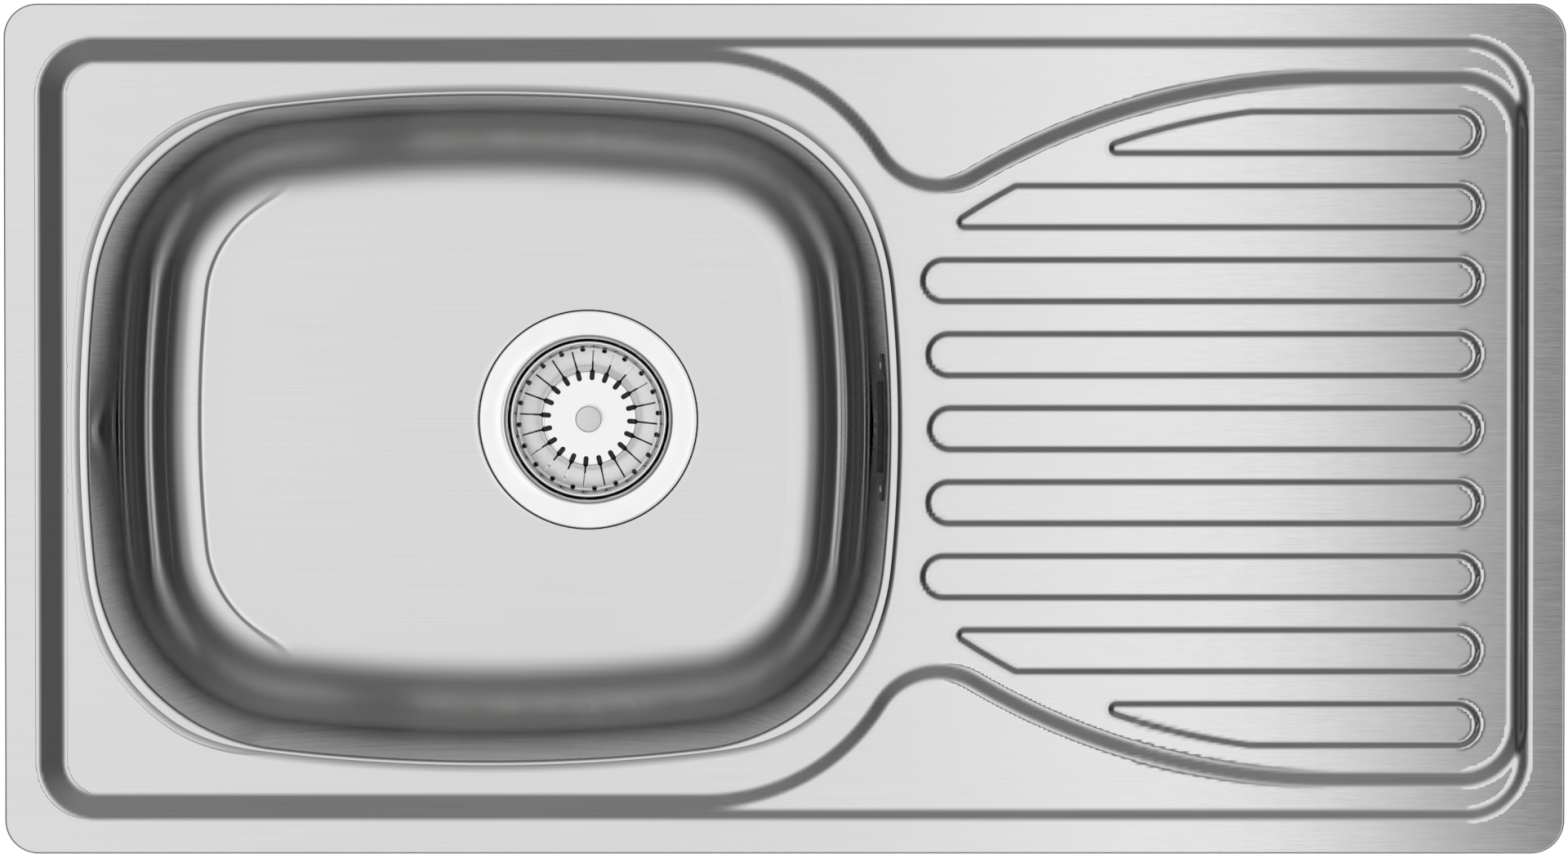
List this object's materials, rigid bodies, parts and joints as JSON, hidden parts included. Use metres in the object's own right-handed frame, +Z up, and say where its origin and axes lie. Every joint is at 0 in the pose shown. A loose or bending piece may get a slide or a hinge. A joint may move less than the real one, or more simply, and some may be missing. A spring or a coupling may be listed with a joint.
{
  "type": "kitchen sink",
  "caption": "Inset stainless steel kitchen sink with a rounded bowl, a ribbed drainer, a basket strainer waste and an overflow.",
  "frame": {"origin": "centre of the sink's outline, on the worktop's top face where the rim seal rests", "axes": "+X along the sink from the bowl towards the drainer, +Y towards the back, +Z up"},
  "size_m": [0.78, 0.425, 0.24],
  "materials": {
    "steel": "brushed stainless steel, grain along X",
    "polished": "polished stainless steel",
    "foam": "closed-cell foam",
    "pad": "matt damping sheet",
    "rubber": "matt",
    "plastic": "fine moulded texture",
    "zinc": "bright zinc-plated steel"
  },
  "bodies": {
    "sink": {"deck": "steel", "bowl": "steel", "bowl_floor": "steel", "rim_seal": "foam", "sound_pad": "pad", "earth_tag": "zinc", "strainer_cup": "polished", "flange_gasket": "rubber", "lower_gasket": "rubber", "waste_body": "plastic", "clamp_screw": "zinc", "overflow_gasket": "rubber", "overflow_box": "plastic", "overflow_studs": "zinc", "overflow_nuts": "zinc", "overflow_pipe": "plastic", "union_nuts": "plastic", "pipe_seals": "rubber", "clip_brackets": "zinc"},
    "basket_stem": {"basket_stem": "zinc", "basket_stopper": "rubber", "stem_nut": "zinc"},
    "basket": {"basket_shell": "polished", "basket_knob": "polished"},
    "washer_rear_left": {"clip_washer_rear_left": "zinc"},
    "screw_rear_left": {"clip_screw_rear_left": "zinc"},
    "claw_rear_left": {"clip_claw_rear_left": "zinc"},
    "washer_rear_middle": {"clip_washer_rear_middle": "zinc"},
    "screw_rear_middle": {"clip_screw_rear_middle": "zinc"},
    "claw_rear_middle": {"clip_claw_rear_middle": "zinc"},
    "washer_rear_right": {"clip_washer_rear_right": "zinc"},
    "screw_rear_right": {"clip_screw_rear_right": "zinc"},
    "claw_rear_right": {"clip_claw_rear_right": "zinc"},
    "washer_front_left": {"clip_washer_front_left": "zinc"},
    "screw_front_left": {"clip_screw_front_left": "zinc"},
    "claw_front_left": {"clip_claw_front_left": "zinc"},
    "washer_front_middle": {"clip_washer_front_middle": "zinc"},
    "screw_front_middle": {"clip_screw_front_middle": "zinc"},
    "claw_front_middle": {"clip_claw_front_middle": "zinc"},
    "washer_front_right": {"clip_washer_front_right": "zinc"},
    "screw_front_right": {"clip_screw_front_right": "zinc"},
    "claw_front_right": {"clip_claw_front_right": "zinc"},
    "washer_end_rear": {"clip_washer_end_rear": "zinc"},
    "screw_end_rear": {"clip_screw_end_rear": "zinc"},
    "claw_end_rear": {"clip_claw_end_rear": "zinc"},
    "washer_end_front": {"clip_washer_end_front": "zinc"},
    "screw_end_front": {"clip_screw_end_front": "zinc"},
    "claw_end_front": {"clip_claw_end_front": "zinc"}
  },
  "joints": [
    {"name": "basket_lift", "type": "slide", "parent": "sink", "child": "basket_stem", "axis": [0, 0, 1], "range_m": [0, 0.08]},
    {"name": "basket_turn", "type": "hinge", "parent": "basket_stem", "child": "basket", "pos_m": [-0.101, 0, -0.175], "axis": [0, 0, 1], "continuous": true},
    {"name": "climb_rear_left", "type": "slide", "parent": "sink", "child": "washer_rear_left", "axis": [0, 0, 1], "range_m": [0, 0.017]},
    {"name": "turn_rear_left", "type": "hinge", "parent": "washer_rear_left", "child": "screw_rear_left", "pos_m": [-0.315, 0.1665, -0.0525], "axis": [0, 0, 1], "range_deg": [0, 6121]},
    {"name": "swing_rear_left", "type": "hinge", "parent": "washer_rear_left", "child": "claw_rear_left", "pos_m": [-0.315, 0.1665, -0.0525], "axis": [0, 0, 1], "range_deg": [0, 90]},
    {"name": "climb_rear_middle", "type": "slide", "parent": "sink", "child": "washer_rear_middle", "axis": [0, 0, 1], "range_m": [0, 0.017]},
    {"name": "turn_rear_middle", "type": "hinge", "parent": "washer_rear_middle", "child": "screw_rear_middle", "pos_m": [0.085, 0.1665, -0.0525], "axis": [0, 0, 1], "range_deg": [0, 6121]},
    {"name": "swing_rear_middle", "type": "hinge", "parent": "washer_rear_middle", "child": "claw_rear_middle", "pos_m": [0.085, 0.1665, -0.0525], "axis": [0, 0, 1], "range_deg": [0, 90]},
    {"name": "climb_rear_right", "type": "slide", "parent": "sink", "child": "washer_rear_right", "axis": [0, 0, 1], "range_m": [0, 0.017]},
    {"name": "turn_rear_right", "type": "hinge", "parent": "washer_rear_right", "child": "screw_rear_right", "pos_m": [0.335, 0.1665, -0.0525], "axis": [0, 0, 1], "range_deg": [0, 6121]},
    {"name": "swing_rear_right", "type": "hinge", "parent": "washer_rear_right", "child": "claw_rear_right", "pos_m": [0.335, 0.1665, -0.0525], "axis": [0, 0, -1], "range_deg": [0, 90]},
    {"name": "climb_front_left", "type": "slide", "parent": "sink", "child": "washer_front_left", "axis": [0, 0, 1], "range_m": [0, 0.017]},
    {"name": "turn_front_left", "type": "hinge", "parent": "washer_front_left", "child": "screw_front_left", "pos_m": [-0.315, -0.1665, -0.0525], "axis": [0, 0, 1], "range_deg": [0, 6121]},
    {"name": "swing_front_left", "type": "hinge", "parent": "washer_front_left", "child": "claw_front_left", "pos_m": [-0.315, -0.1665, -0.0525], "axis": [0, 0, -1], "range_deg": [0, 90]},
    {"name": "climb_front_middle", "type": "slide", "parent": "sink", "child": "washer_front_middle", "axis": [0, 0, 1], "range_m": [0, 0.017]},
    {"name": "turn_front_middle", "type": "hinge", "parent": "washer_front_middle", "child": "screw_front_middle", "pos_m": [0.085, -0.1665, -0.0525], "axis": [0, 0, 1], "range_deg": [0, 6121]},
    {"name": "swing_front_middle", "type": "hinge", "parent": "washer_front_middle", "child": "claw_front_middle", "pos_m": [0.085, -0.1665, -0.0525], "axis": [0, 0, -1], "range_deg": [0, 90]},
    {"name": "climb_front_right", "type": "slide", "parent": "sink", "child": "washer_front_right", "axis": [0, 0, 1], "range_m": [0, 0.017]},
    {"name": "turn_front_right", "type": "hinge", "parent": "washer_front_right", "child": "screw_front_right", "pos_m": [0.335, -0.1665, -0.0525], "axis": [0, 0, 1], "range_deg": [0, 6121]},
    {"name": "swing_front_right", "type": "hinge", "parent": "washer_front_right", "child": "claw_front_right", "pos_m": [0.335, -0.1665, -0.0525], "axis": [0, 0, 1], "range_deg": [0, 90]},
    {"name": "climb_end_rear", "type": "slide", "parent": "sink", "child": "washer_end_rear", "axis": [0, 0, 1], "range_m": [0, 0.017]},
    {"name": "turn_end_rear", "type": "hinge", "parent": "washer_end_rear", "child": "screw_end_rear", "pos_m": [0.344, 0.0925, -0.0525], "axis": [0, 0, 1], "range_deg": [0, 6121]},
    {"name": "swing_end_rear", "type": "hinge", "parent": "washer_end_rear", "child": "claw_end_rear", "pos_m": [0.344, 0.0925, -0.0525], "axis": [0, 0, 1], "range_deg": [0, 90]},
    {"name": "climb_end_front", "type": "slide", "parent": "sink", "child": "washer_end_front", "axis": [0, 0, 1], "range_m": [0, 0.017]},
    {"name": "turn_end_front", "type": "hinge", "parent": "washer_end_front", "child": "screw_end_front", "pos_m": [0.344, -0.0925, -0.0525], "axis": [0, 0, 1], "range_deg": [0, 6121]},
    {"name": "swing_end_front", "type": "hinge", "parent": "washer_end_front", "child": "claw_end_front", "pos_m": [0.344, -0.0925, -0.0525], "axis": [0, 0, -1], "range_deg": [0, 90]}
  ],
  "couplings": [
    {"joint": "turn_rear_left", "follows": "climb_rear_left", "rad_per_m": 6283.2},
    {"joint": "turn_rear_middle", "follows": "climb_rear_middle", "rad_per_m": 6283.2},
    {"joint": "turn_rear_right", "follows": "climb_rear_right", "rad_per_m": 6283.2},
    {"joint": "turn_front_left", "follows": "climb_front_left", "rad_per_m": 6283.2},
    {"joint": "turn_front_middle", "follows": "climb_front_middle", "rad_per_m": 6283.2},
    {"joint": "turn_front_right", "follows": "climb_front_right", "rad_per_m": 6283.2},
    {"joint": "turn_end_rear", "follows": "climb_end_rear", "rad_per_m": 6283.2},
    {"joint": "turn_end_front", "follows": "climb_end_front", "rad_per_m": 6283.2}
  ]
}
